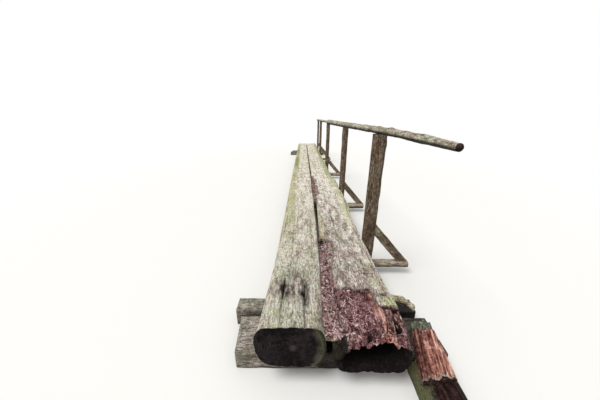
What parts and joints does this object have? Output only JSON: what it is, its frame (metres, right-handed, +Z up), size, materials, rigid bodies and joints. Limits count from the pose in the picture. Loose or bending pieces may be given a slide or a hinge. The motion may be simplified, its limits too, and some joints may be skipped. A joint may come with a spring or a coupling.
{
  "type": "log footbridge",
  "caption": "Small log footbridge: two hewn deck logs on cross sills, with a pole handrail on braced round posts along one side and one rotten, hollow log end.",
  "frame": {"origin": "middle of the near sill's underside, below the joint between the two deck logs", "axes": "+Y along the deck from the near bank to the far bank, +X to the handrail side, +Z up; z = 0 is the level both banks' sills rest on"},
  "size_m": [1.662, 10.1405, 1.5439],
  "materials": {
    "left_log_wood": "hewn softwood, weathered grey, lichen and moss, dark sawn end",
    "right_log_wood": "hewn softwood, weathered grey and mossy, red-brown rot at the near end",
    "split_wood": "split weathered softwood, pale yellow-grey",
    "sill_wood": "squared timber, weathered grey-brown with moss",
    "pole_wood": "debarked pole, weathered brown",
    "post_wood": "debarked pole, weathered brown, checked along the grain",
    "brace_wood": "sawn timber, weathered grey-brown",
    "rail_wood": "debarked knotty pole, weathered grey-beige with lichen",
    "rotten_wood": "brown-rotted softwood, fibrous, orange to red-brown"
  },
  "bodies": {
    "root": {"left_log": "left_log_wood", "right_log": "right_log_wood", "split_strip": "split_wood", "near_sill": "sill_wood", "near_sill_back": "sill_wood", "far_sill": "sill_wood", "far_sill_back": "sill_wood", "cross_pole_1": "pole_wood", "cross_pole_2": "pole_wood", "cross_pole_3": "pole_wood", "cross_pole_4": "pole_wood", "cross_pole_5": "pole_wood", "post_1": "post_wood", "post_2": "post_wood", "post_3": "post_wood", "post_4": "post_wood", "post_5": "post_wood", "brace_1": "brace_wood", "brace_2": "brace_wood", "brace_3": "brace_wood", "brace_4": "brace_wood", "brace_5": "brace_wood", "handrail_near": "rail_wood", "handrail_far": "rail_wood", "fallen_slab": "rotten_wood", "fallen_chunk": "rotten_wood"}
  },
  "joints": []
}
